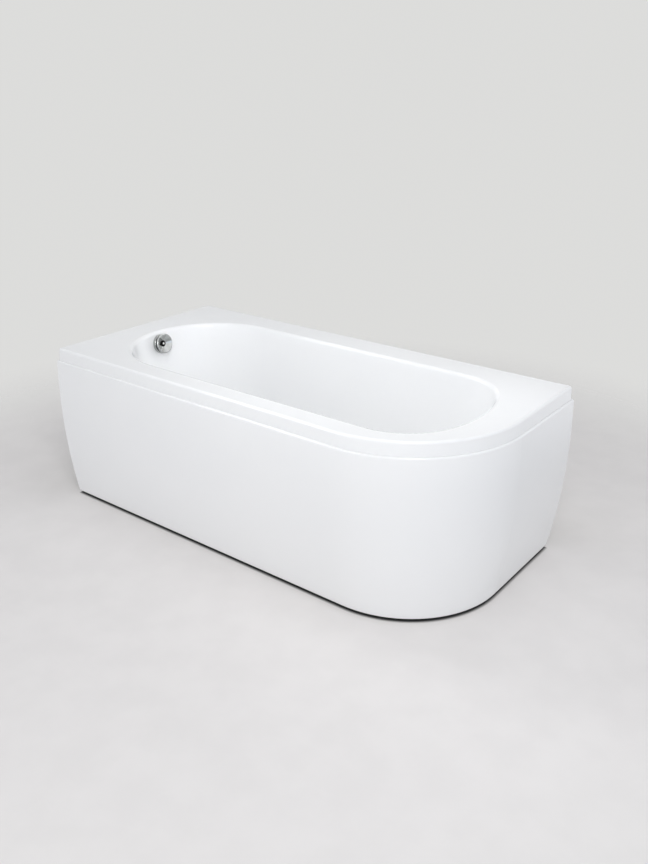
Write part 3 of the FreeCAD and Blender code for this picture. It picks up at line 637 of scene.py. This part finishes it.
class Bench:
    """Models new pieces with Blender's own operators."""

    SMOOTH_ANGLE: ClassVar[float] = math.radians(35.0)
    MERGE_DISTANCE: ClassVar[float] = 1e-6
    # An even triangle on a circle of radius 1
    TRIANGLE_CORNERS: ClassVar[int] = 3
    TRIANGLE_HEIGHT: ClassVar[float] = 1.5
    TRIANGLE_HALF_SIDE: ClassVar[float] = math.sin(math.radians(60.0))
    # Half of a ridge's base as a share of its pitch, so that its turns stay just apart
    HALF_BASE: ClassVar[float] = 0.49

    @staticmethod
    def hold(*pieces: Piece) -> None:
        """Select these pieces and nothing else.

        Args:
            pieces: what is held, the first one active.
        """
        bpy.ops.object.select_all(action="DESELECT")
        for piece in pieces:
            piece.select_set(True)
        bpy.context.view_layer.objects.active = pieces[0] if pieces else None

    @staticmethod
    def settle() -> None:
        """Move the active piece's place into its mesh."""
        bpy.ops.object.transform_apply(location=True, rotation=True, scale=True)

    def drawn(self, name: str, sides: int, rings: list[Span]) -> Piece:
        """Draw a closed solid about z out of a flat disc, ring by ring.

        Args:
            name: the piece's name.
            sides: corners of the disc.
            rings: radius and height of each ring, the disc first.

        Returns:
            The solid.
        """
        self.hold()
        radius, height = rings[0]
        bpy.ops.mesh.primitive_circle_add(vertices=sides, radius=radius, fill_type="NGON",
                                          location=(0.0, 0.0, height))
        piece = bpy.context.object
        piece.name = name
        self.settle()
        bpy.ops.object.mode_set(mode="EDIT")
        bpy.ops.mesh.select_all(action="SELECT")
        for wide, high in rings[1:]:
            rise = (0.0, 0.0, high - height)
            bpy.ops.mesh.extrude_region_move(TRANSFORM_OT_translate={"value": rise})
            share = wide / radius
            bpy.ops.transform.resize(value=(share, share, 1.0), center_override=(0.0, 0.0, high))
            radius, height = wide, high
        bpy.ops.mesh.select_all(action="SELECT")
        bpy.ops.mesh.normals_make_consistent(inside=False)
        bpy.ops.object.mode_set(mode="OBJECT")
        return piece

    def wound(self, name: str, crest: float, root: float, pitch: float, low: float, turns: int,
              steps: int) -> Piece:
        """Wind a ridge of triangular section up about z.

        Args:
            name: the piece's name.
            crest: radius of the ridge's tip.
            root: radius of its base.
            pitch: rise in one turn, which is also the width of the base.
            low: height of its start.
            turns: whole turns.
            steps: sides of a turn.

        Returns:
            The closed ridge.
        """
        self.hold()
        bpy.ops.mesh.primitive_circle_add(vertices=self.TRIANGLE_CORNERS, radius=1.0, fill_type="NOTHING")
        ridge = bpy.context.object
        ridge.name = name
        ridge.rotation_mode = "ZYX"
        ridge.rotation_euler = (math.radians(90.0), 0.0, math.radians(-90.0))
        deep = (crest - root) / self.TRIANGLE_HEIGHT
        ridge.scale = (self.HALF_BASE * pitch / self.TRIANGLE_HALF_SIDE, deep, 1.0)
        ridge.location = (crest - deep, 0.0, low)
        self.settle()
        winding = ridge.modifiers.new("winding", "SCREW")
        winding.axis = "Z"
        winding.screw_offset = pitch
        winding.iterations = turns
        winding.steps = winding.render_steps = steps
        winding.use_smooth_shade = False
        bpy.ops.object.modifier_apply(modifier=winding.name)
        bpy.ops.object.mode_set(mode="EDIT")
        bpy.ops.mesh.select_all(action="SELECT")
        bpy.ops.mesh.remove_doubles(threshold=self.MERGE_DISTANCE)
        bpy.ops.mesh.fill_holes(sides=self.TRIANGLE_CORNERS)
        bpy.ops.mesh.select_all(action="SELECT")
        bpy.ops.mesh.normals_make_consistent(inside=False)
        bpy.ops.object.mode_set(mode="OBJECT")
        return ridge

    def cut(self, piece: Piece, tool: Piece, operation: str) -> None:
        """Cut a piece with a tool, which is used up.

        Args:
            piece: what stays.
            tool: what cuts.
            operation: a Boolean modifier's operation.
        """
        self.hold(piece)
        knife = piece.modifiers.new("cut", "BOOLEAN")
        knife.operation = operation
        knife.solver = "EXACT"
        knife.object = tool
        bpy.ops.object.modifier_apply(modifier=knife.name)
        bpy.data.objects.remove(tool)

    def joined(self, name: str, pieces: list[Piece]) -> Piece:
        """Make several pieces one, with its place in its mesh and its round faces smooth.

        Args:
            name: the new piece's name.
            pieces: what is joined.

        Returns:
            The new piece.
        """
        self.hold(*pieces)
        bpy.ops.object.join()
        piece = bpy.context.object
        piece.name = name
        self.settle()
        bpy.ops.object.shade_smooth_by_angle(angle=self.SMOOTH_ANGLE)
        return piece

    def copies(self, pattern: Piece, places: list[Vector]) -> list[Piece]:
        """Copy a pattern, each copy with its own mesh; the pattern is used up.

        Args:
            pattern: the piece that repeats.
            places: where each copy's origin goes.

        Returns:
            The copies.
        """
        made = []
        for place in places:
            self.hold(pattern)
            bpy.ops.object.duplicate()
            bpy.context.object.location = place
            made.append(bpy.context.object)
        bpy.data.objects.remove(pattern)
        return made


class Dresser:
    """Gives CAD nodes and new pieces their finishes."""

    def dress(self, material: Material, *nodes: str) -> None:
        """Put one material on whole CAD nodes.

        Args:
            material: the finish.
            nodes: names of the nodes.
        """
        for name in nodes:
            self.paint(frame["nodes"][name], material)
            LOG.info("dressed %s in %s", name, material.name)

    @staticmethod
    def paint(piece: Piece, material: Material) -> None:
        """Put one material on all of a piece.

        Args:
            piece: a CAD node's object or a new piece.
            material: the finish.
        """
        if not piece.material_slots:
            piece.data.materials.append(material)
        for slot in piece.material_slots:
            slot.material = material


@dataclass
class BathShell(Dresser):
    """Shell and panel: white acrylic, with laminate where nobody looks."""

    corner_radius: float = 0.385
    white: Colour = (0.900, 0.901, 0.900)
    shade: Colour = (0.884, 0.887, 0.890)

    def corner_middle(self) -> tuple[float, float]:
        """Middle of the rim's rounded corner, seen from above."""
        low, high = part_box("bath_shell")
        return high.x - self.corner_radius, low.y + self.corner_radius

    def build(self, effects: Effects) -> None:
        """Dress the shell and the panel.

        Args:
            effects: the shared groups.
        """
        gloss = dict(light=self.white, dark=self.shade, cloud_scale=1.6, roughness=0.075,
                     roughness_drift=0.015, relief_scale=7.0, relief_height=0.0006, ior=1.49)
        panel = PanelLaminate(name="panel_acrylic", corner=self.corner_middle(), **gloss)
        self.dress(Laminate(name="shell_acrylic", **gloss).make(effects), "bath_shell")
        self.dress(panel.make(effects), "front_panel")


@dataclass
class Plating(Dresser):
    """Overflow, plug and waste flange in chrome."""

    bright: Colour = (0.462, 0.472, 0.464)
    dull: Colour = (0.395, 0.405, 0.397)
    # radii of the painted shade: the knob's reaches a little past its mouth, the flange's covers its well
    mouth_shade_radius: float = 0.0118
    well_shade_radius: float = 0.025

    def build(self, effects: Effects) -> None:
        """Dress the plated pieces; the knob's mouth and back and the flange's well get painted shade.

        Args:
            effects: the shared groups.
        """
        chrome = dict(light=self.bright, dark=self.dull, cloud_scale=40.0, roughness=0.08,
                      roughness_drift=0.03, relief_scale=300.0, relief_height=0.00001, metallic=1.0)
        self.dress(Finish(name="chrome", **chrome).make(effects), "waste_flange", "plug_cap")
        axle = Axle.of("knob_turn")
        line = dict(point=tuple(axle.point), direction=tuple(axle.direction))
        knob = SocketPlatingPaintedShade(name="knob_chrome", socket_radius=self.mouth_shade_radius, **line, **chrome)
        flange = SocketPlatingPaintedShade(name="flange_chrome", socket_radius=self.well_shade_radius, **line, **chrome)
        self.dress(knob.make(effects), "overflow_knob")
        self.dress(flange.make(effects), "overflow_flange")


@dataclass
class Ironwork(Dresser):
    """Zinc-plated cradle, brackets, cleats, hooks and screws, with threaded rods and chamfered nuts."""

    bright: Colour = (0.62, 0.63, 0.65)
    dull: Colour = (0.45, 0.46, 0.48)
    # spindle tones: steel, raised well above the chrome's as a painted highlight on the pin
    spindle_painted_highlight: Colour = (0.82, 0.82, 0.81)
    spindle_painted_highlight_dull: Colour = (0.74, 0.74, 0.73)
    feet: int = 5
    rod_radius: float = 0.005
    rod_sides: int = 24
    tip_chamfer: float = 0.001
    thread_depth: float = 0.0008
    thread_bite: float = 0.0002
    thread_pitch: float = 0.0015
    thread_steps: int = 20
    bare_turns: int = 2
    nut_flats: float = 0.017
    nut_sides: int = 6
    nut_chamfer: float = 0.001
    corner_clear: float = 0.00025
    bore_chamfer: float = 0.0007
    bench: ClassVar[Bench] = Bench()

    def build(self, effects: Effects) -> None:
        """Dress every zinc-plated node of the record and make the rods and nuts.

        Args:
            effects: the shared groups.
        """
        zinc = Spangle(name="zinc", light=self.bright, dark=self.dull, cloud_scale=18.0, roughness=0.34,
                       roughness_drift=0.06, relief_scale=140.0, relief_height=0.00004,
                       relief_stretch=(1.0, 6.0, 6.0), metallic=1.0, dust=0.25).make(effects)
        self.dress(zinc, *nodes_of(Slot.ZINC))
        # painted highlight: the spindle's steel gets a bright tone so that the pin shows as a light spot
        painted_highlight_steel = Finish(name="spindle_painted_highlight_steel", light=self.spindle_painted_highlight, dark=self.spindle_painted_highlight_dull,
                          cloud_scale=60.0, roughness=0.2, roughness_drift=0.05, relief_scale=400.0,
                          relief_height=0.00001, metallic=1.0)
        self.dress(painted_highlight_steel.make(effects), "knob_spindle")
        axles = [Axle.of(f"foot_{number}_turn") for number in range(1, self.feet + 1)]
        self.fit(self.rods(axles), zinc, "levelling_rods")
        self.fit(self.nuts(axles), zinc, "lock_nuts")

    def fit(self, piece: Piece, material: Material, node: str) -> None:
        """Paint a new piece and let it stand for a CAD node of the bath.

        Args:
            piece: the new piece.
            material: its finish.
            node: the node that it stands for.
        """
        self.paint(piece, material)
        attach(piece, Body.BATH.value)
        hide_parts(node)
        LOG.info("made %s, %d faces", piece.name, len(piece.data.polygons))

    def rods(self, axles: list[Axle]) -> Piece:
        """Make the threaded levelling rods.

        Args:
            axles: the feet's axles, one for each rod.

        Returns:
            All rods as one piece.
        """
        spans: dict[Span, list[Vector]] = {}
        for axle in axles:
            heights = axle.levels("levelling_rods", 2 * self.rod_radius)
            spans.setdefault((heights[0], heights[-1]), []).append(axle.point)
        made = []
        for (low, high), places in spans.items():
            made += self.bench.copies(self.rod(low, high), places)
        return self.bench.joined("threaded_rods", made)

    def rod(self, low: float, high: float) -> Piece:
        """Make one threaded rod on the z axis.

        Args:
            low: height of its lower end.
            high: height of its upper end.

        Returns:
            The rod.
        """
        core = self.rod_radius - self.thread_depth
        tip = core - self.tip_chamfer
        shaft = self.bench.drawn("shaft", self.rod_sides, [
            (tip, low), (core, low + self.tip_chamfer), (core, high - self.tip_chamfer), (tip, high)])
        turns = int((high - low) / self.thread_pitch) - self.bare_turns
        thread = self.bench.wound("thread", self.rod_radius, core - self.thread_bite, self.thread_pitch,
                                  low + self.thread_pitch, turns, self.thread_steps)
        return self.bench.joined("rod", [shaft, thread])

    def nuts(self, axles: list[Axle]) -> Piece:
        """Make chamfered lock nuts where the CAD has its plain ones.

        Args:
            axles: the feet's axles, which carry the nuts.

        Returns:
            All nuts as one piece.
        """
        places, height = [], 0.0
        for axle in axles:
            heights = axle.levels("lock_nuts", self.nut_flats)
            for low, high in zip(heights[0::2], heights[1::2]):
                places.append(axle.point + low * axle.direction)
                height = high - low
        return self.bench.joined("chamfered_nuts", self.bench.copies(self.nut(height), places))

    def nut(self, height: float) -> Piece:
        """Make one nut on the z axis, standing on z = 0.

        Args:
            height: its height.

        Returns:
            The nut.
        """
        flat = self.nut_flats / 2
        corner = flat / math.cos(math.pi / self.nut_sides)
        turned = corner + self.corner_clear
        nut = self.bench.drawn("nut", self.nut_sides, [(corner, 0.0), (corner, height)])
        blank = self.bench.drawn("blank", 2 * self.rod_sides, [
            (flat - self.bore_chamfer, 0.0), (turned, self.nut_chamfer), (turned, height - self.nut_chamfer),
            (flat - self.bore_chamfer, height)])
        self.bench.cut(nut, blank, "INTERSECT")
        wide = self.rod_radius + 2 * self.bore_chamfer
        bore = self.bench.drawn("bore", self.rod_sides, [
            (wide, -self.bore_chamfer), (self.rod_radius, self.bore_chamfer),
            (self.rod_radius, height - self.bore_chamfer), (wide, height + self.bore_chamfer)])
        self.bench.cut(nut, bore, "DIFFERENCE")
        return nut


@dataclass
class BoardAndFeet(Dresser):
    """Chipboard under the basin's floor and black plastic pieces, such as the feet."""

    wood: Colour = (0.72, 0.58, 0.38)
    dark_wood: Colour = (0.58, 0.44, 0.27)
    black: Colour = (0.045, 0.045, 0.05)
    deep_black: Colour = (0.03, 0.03, 0.033)

    def build(self, effects: Effects) -> None:
        """Dress the board and the black plastic.

        Args:
            effects: the shared groups.
        """
        board = Chipboard(name="chipboard", light=self.wood, dark=self.dark_wood, cloud_scale=9.0,
                          roughness=0.75, roughness_drift=0.08, relief_scale=260.0, relief_height=0.0002)
        self.dress(board.make(effects), *nodes_of(Slot.BOARD))
        moulding = Finish(name="black_moulding", light=self.black, dark=self.deep_black, cloud_scale=25.0,
                          roughness=0.42, roughness_drift=0.08, relief_scale=900.0, relief_height=0.00004,
                          dust=0.2)
        self.dress(moulding.make(effects), *nodes_of(Slot.BLACK_PLASTIC))


@dataclass
class Pipework(Dresser):
    """White plastic waste and overflow, with rubber seals."""

    white: Colour = (0.84, 0.84, 0.82)
    off_white: Colour = (0.78, 0.78, 0.765)
    black: Colour = (0.035, 0.034, 0.033)
    deep_black: Colour = (0.022, 0.022, 0.022)

    def build(self, effects: Effects) -> None:
        """Dress the pipes and seals.

        Args:
            effects: the shared groups.
        """
        moulding = Finish(name="white_moulding", light=self.white, dark=self.off_white, cloud_scale=14.0,
                          roughness=0.34, roughness_drift=0.06, relief_scale=420.0, relief_height=0.00005,
                          dust=0.12)
        self.dress(moulding.make(effects), *nodes_of(Slot.WHITE_PLASTIC))
        rubber = Finish(name="rubber", light=self.black, dark=self.deep_black, cloud_scale=35.0,
                        roughness=0.66, roughness_drift=0.08, relief_scale=700.0, relief_height=0.00006)
        self.dress(rubber.make(effects), *nodes_of(Slot.RUBBER))


@dataclass(frozen=True)
class SoftBox:
    """A rectangular studio lamp.

    Fields hold its place, what it points at, its size in metres, its power, colour and spread in degrees.
    """

    name: str
    place: Point
    aim: Point
    size: tuple[float, float]
    power: float
    colour: Colour
    spread: float = 180.0

    def hang(self) -> None:
        """Make the lamp."""
        lamp = bpy.data.lights.new(self.name, "AREA")
        lamp.shape = "RECTANGLE"
        lamp.size, lamp.size_y = self.size
        lamp.energy = self.power
        lamp.color = self.colour
        lamp.spread = math.radians(self.spread)
        holder = bpy.data.objects.new(self.name, lamp)
        holder.location = self.place
        holder.visible_camera = False
        holder.rotation_euler = (Vector(self.aim) - Vector(self.place)).to_track_quat("-Z", "Y").to_euler()
        bpy.context.scene.collection.objects.link(holder)


@dataclass
class Studio:
    """Camera at the photograph's angle, pale floor, soft lamps and a pale surround."""

    camera_place: Point = (1.85399, -2.25867, 1.56418)
    camera_tilt: float = 78.206
    camera_turn: float = 37.779
    focal_pixels: float = 917.998
    picture: tuple[int, int] = (648, 864)
    principal_row: float = 254.755
    sensor_height: float = 36.0
    floor_radius: float = 4.0
    floor_sides: int = 96
    floor_clear: Span = (1.2, 2.3)
    floor_tone: Colour = (0.815, 0.79, 0.775)
    floor_roughness: float = 0.6
    speck_scale: float = 9.0
    speck_detail: float = 4.0
    speck_dim: float = 0.97
    # painted shadow: near-black tone of the floor strip under the panel's foot, with its depth and soft edge
    painted_shadow_tone: Colour = (0.03, 0.03, 0.03)
    gap_depth: float = 0.026
    gap_edge: float = 0.007
    foot_height: float = 0.0135
    surround: Colour = (0.72, 0.72, 0.71)
    window: Colour = (1.42, 1.43, 1.45)
    window_span: Span = (0.0, 0.45)
    ambient: Colour = (0.590, 0.600, 0.622)
    neutral: Colour = (1.0, 0.998, 0.995)
    cool: Colour = (0.97, 0.985, 1.0)
    cooler: Colour = (0.93, 0.965, 1.0)
    blue: Colour = (0.0, 0.42, 1.0)

    def build(self) -> None:
        """Set the stage."""
        self.view()
        self.floor()
        self.world()
        for lamp in self.lamps():
            lamp.hang()
        bpy.context.scene.view_settings.view_transform = "Standard"

    def lamps(self) -> list[SoftBox]:
        """List the lamps: a large key over the camera, cool fills, and narrow ones for basin and rim.

        Returns:
            The lamps, not yet hung.
        """
        return [
            SoftBox("key", (2.3, -2.3, 3.0), (0.1, 0.0, 0.45), (1.2, 1.2), 47.7, self.neutral),
            SoftBox("front_fill", (-0.6, -3.4, 1.2), (-0.4, 0.0, 0.3), (2.4, 1.4), 10.25, self.cooler),
            SoftBox("overhead", (-0.15, 0.0, 3.0), (-0.15, 0.0, 0.0), (1.4, 0.8), 5.1, self.cool),
            SoftBox("foot_lamp", (1.95, -1.95, 1.60), (-0.52, 0.28, 0.59), (0.5, 0.5), 0.40, self.cool, 27.0),
            SoftBox("head_lamp", (-0.9, -0.3, 1.9), (0.55, 0.0, 0.42), (0.6, 0.6), 0.68, self.cool, 45.0),
            SoftBox("rim_lamp", (0.62, 0.18, 1.40), (0.68, 0.13, 0.575), (0.4, 0.4), 0.072, self.cool, 38.0),
            SoftBox("side_fill", (3.0, -1.2, 0.9), (0.5, -0.2, 0.3), (1.6, 1.2), 1.4, self.blue),
            SoftBox("corner_lamp", (0.2, 1.0, 1.5), (-0.70, -0.12, 0.50), (0.4, 0.4), 0.055, self.cool, 16.0),
        ]

    def view(self) -> None:
        """Place the camera."""
        width, height = self.picture
        lens = bpy.data.cameras.new("camera")
        lens.sensor_fit = "VERTICAL"
        lens.sensor_height = self.sensor_height
        lens.sensor_width = self.sensor_height * width / height
        lens.lens = self.focal_pixels * self.sensor_height / height
        lens.shift_y = (self.principal_row - height / 2) / height
        camera = bpy.data.objects.new("camera", lens)
        camera.location = self.camera_place
        camera.rotation_euler = (math.radians(self.camera_tilt), 0.0, math.radians(self.camera_turn))
        bpy.context.scene.collection.objects.link(camera)
        bpy.context.scene.camera = camera

    def floor(self) -> None:
        """Make a round pale floor that fades into the surround, with a painted shadow strip under the panel's
        foot.
        """
        bpy.ops.object.select_all(action="DESELECT")
        bpy.ops.mesh.primitive_circle_add(vertices=self.floor_sides, radius=self.floor_radius,
                                          fill_type="NGON")
        floor = bpy.context.object
        floor.name = "floor"
        material = bpy.data.materials.new("pale_floor")
        material.use_nodes = True
        board = NodeBoard(material.node_tree)
        fade = board.ramp(board.vector("LENGTH", board.place()), *self.floor_clear)
        speck = board.ramp(board.noise(board.place(), self.speck_scale, self.speck_detail), *NOISE_SPAN)
        dimmed = tuple(self.speck_dim * part for part in self.floor_tone)
        tone = board.mix(speck, opaque(self.floor_tone), opaque(dimmed))
        # painted shadow on the floor under the panel's foot
        tone = board.mix(self.painted_shadow_under_panel(board), tone, opaque(self.painted_shadow_tone))
        matt = board.add("ShaderNodeBsdfPrincipled")
        matt.inputs["Roughness"].default_value = self.floor_roughness
        board.feed(matt.inputs["Base Color"], tone)
        joined = board.add("ShaderNodeMixShader")
        board.feed(joined.inputs[0], fade)
        board.feed(joined.inputs[1], matt.outputs[0])
        board.feed(joined.inputs[2], board.add("ShaderNodeBsdfTransparent").outputs[0])
        board.feed(board.add("ShaderNodeOutputMaterial").inputs["Surface"], joined.outputs[0])
        floor.data.materials.append(material)

    def painted_shadow_under_panel(self, board: NodeBoard) -> Socket:
        """Mask the strip of floor just inside the panel's foot, which gets a painted shadow standing in for the
        dark under the bath.

        Args:
            board: the floor material's board.

        Returns:
            The mask.
        """
        low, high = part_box("bath_shell")
        middle_x, middle_y = BathShell().corner_middle()
        corners = [vertex.co for vertex in frame["nodes"]["front_panel"].data.vertices]
        radius = max(point.x for point in corners if point.z < self.foot_height) - middle_x
        place = board.parts(board.place())
        out_x = board.math("MAXIMUM", board.math("SUBTRACT", place["X"], middle_x), 0.0)
        out_y = board.math("MAXIMUM", board.math("SUBTRACT", middle_y, place["Y"]), 0.0)
        squares = board.math("ADD", board.math("POWER", out_x, 2.0), board.math("POWER", out_y, 2.0))
        reach = board.math("SQRT", squares)
        inner = radius - self.gap_depth
        strip = board.math("MULTIPLY", board.ramp(reach, radius + self.gap_edge, radius - self.gap_edge),
                           board.ramp(reach, inner, inner + self.gap_edge))
        ends = board.math("MULTIPLY", board.math("GREATER_THAN", place["X"], low.x),
                          board.math("LESS_THAN", place["Y"], high.y))
        return board.math("MULTIPLY", strip, ends)

    def world(self) -> None:
        """Make even light and a pale surround, which has a window's side to it in reflections."""
        world = bpy.data.worlds.new("surround")
        bpy.context.scene.world = world
        world.use_nodes = True
        board = NodeBoard(world.node_tree)
        path = board.add("ShaderNodeLightPath").outputs
        seen = board.math("MAXIMUM", path["Is Camera Ray"], path["Is Glossy Ray"])
        seen = board.math("MAXIMUM", seen, path["Is Transmission Ray"])
        aim = board.parts(board.add("ShaderNodeTexCoord").outputs["Generated"])
        side = board.ramp(aim["X"], *self.window_span)
        mirrored = board.math("MULTIPLY", side, path["Is Glossy Ray"])
        shown = board.mix(mirrored, opaque(self.surround), opaque(self.window))
        light = board.add("ShaderNodeBackground")
        board.feed(light.inputs["Color"], board.mix(seen, opaque(self.ambient), shown))
        board.feed(board.add("ShaderNodeOutputWorld").inputs["Surface"], light.outputs[0])


def main() -> None:
    """Build the studio, then dress each sub-assembly in order."""
    logging.basicConfig(level=logging.INFO)
    Studio().build()
    effects = Effects()
    for assembly in (BathShell(), Plating(), Ironwork(), BoardAndFeet(), Pipework()):
        assembly.build(effects)
        LOG.info("built %s", type(assembly).__name__)


if __name__ == "__main__":
    main()
